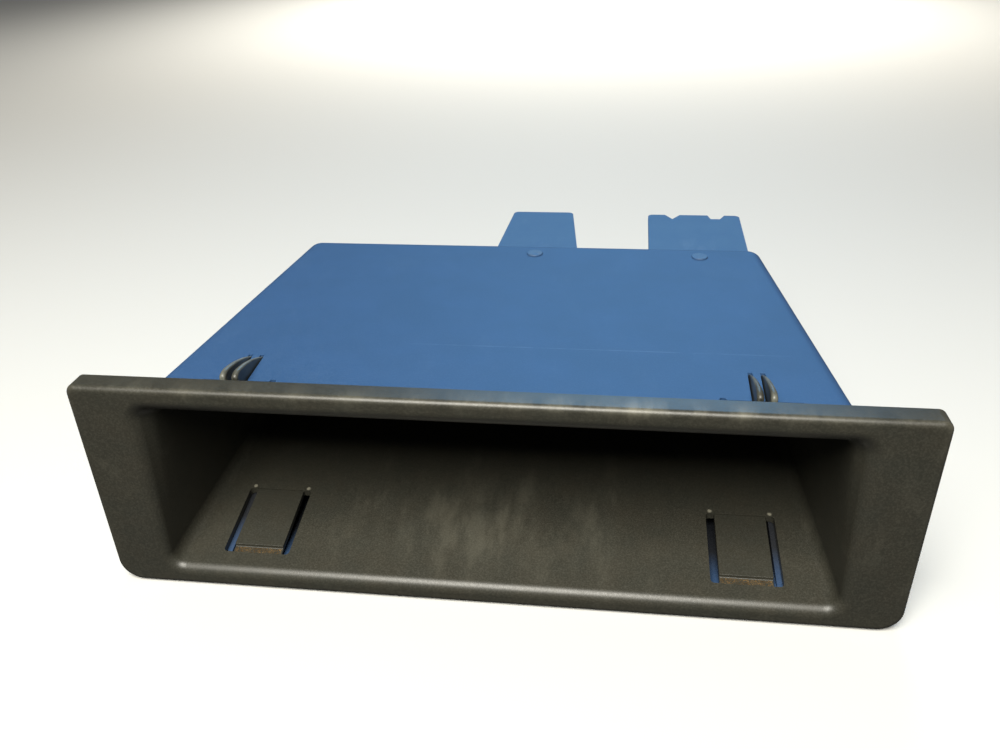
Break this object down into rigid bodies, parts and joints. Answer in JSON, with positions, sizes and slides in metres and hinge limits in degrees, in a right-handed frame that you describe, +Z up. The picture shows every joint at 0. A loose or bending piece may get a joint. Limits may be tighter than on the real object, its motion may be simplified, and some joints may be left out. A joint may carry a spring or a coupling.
{
  "type": "panel storage pocket",
  "caption": "Flanged open-front storage pocket that draws out of a tapered housing, with spring barbs that snap behind the panel and two rear straps.",
  "frame": {"origin": "centre of the panel aperture, on the plane where the bezel's rear rim bears on the panel", "axes": "+X to the right as the user faces the bezel, +Y into the panel, +Z up"},
  "size_m": [0.2112, 0.1528, 0.0634],
  "materials": {
    "black_moulding": "satin grained black moulding, scuffed",
    "black_latch": "satin black moulding, worn on the barbs",
    "blue_moulding": "matt blue moulding with fine grain",
    "blue_strap": "matt blue moulding",
    "rivet": "blue paint worn on the head"
  },
  "bodies": {
    "housing": {"housing_shell": "blue_moulding", "rear_strap_left": "blue_strap", "rear_strap_right": "blue_strap", "strap_rivet_left": "rivet", "strap_rivet_right": "rivet"},
    "pocket": {"pocket_moulding": "black_moulding"},
    "ceiling_latch_left": {"ceiling_latch_left": "black_latch"},
    "ceiling_latch_right": {"ceiling_latch_right": "black_latch"},
    "floor_latch_left": {"floor_latch_left": "black_latch"},
    "floor_latch_right": {"floor_latch_right": "black_latch"}
  },
  "joints": [
    {"name": "pocket_slide", "type": "slide", "parent": "housing", "child": "pocket", "axis": [0, -1, 0], "range_m": [0, 0.08]},
    {"name": "ceiling_latch_left_flex", "type": "hinge", "parent": "pocket", "child": "ceiling_latch_left", "pos_m": [-0.0665, 0.024, 0.0235], "axis": [1, 0, 0], "range_deg": [0, 12], "stiffness_Nm_per_rad": 0.5},
    {"name": "ceiling_latch_right_flex", "type": "hinge", "parent": "pocket", "child": "ceiling_latch_right", "pos_m": [0.0665, 0.024, 0.0235], "axis": [1, 0, 0], "range_deg": [0, 12], "stiffness_Nm_per_rad": 0.5},
    {"name": "floor_latch_left_flex", "type": "hinge", "parent": "pocket", "child": "floor_latch_left", "pos_m": [-0.0675, 0.02325, -0.02164], "axis": [-1, 0, 0], "range_deg": [0, 12], "stiffness_Nm_per_rad": 0.5},
    {"name": "floor_latch_right_flex", "type": "hinge", "parent": "pocket", "child": "floor_latch_right", "pos_m": [0.0675, 0.02325, -0.02164], "axis": [-1, 0, 0], "range_deg": [0, 12], "stiffness_Nm_per_rad": 0.5}
  ]
}
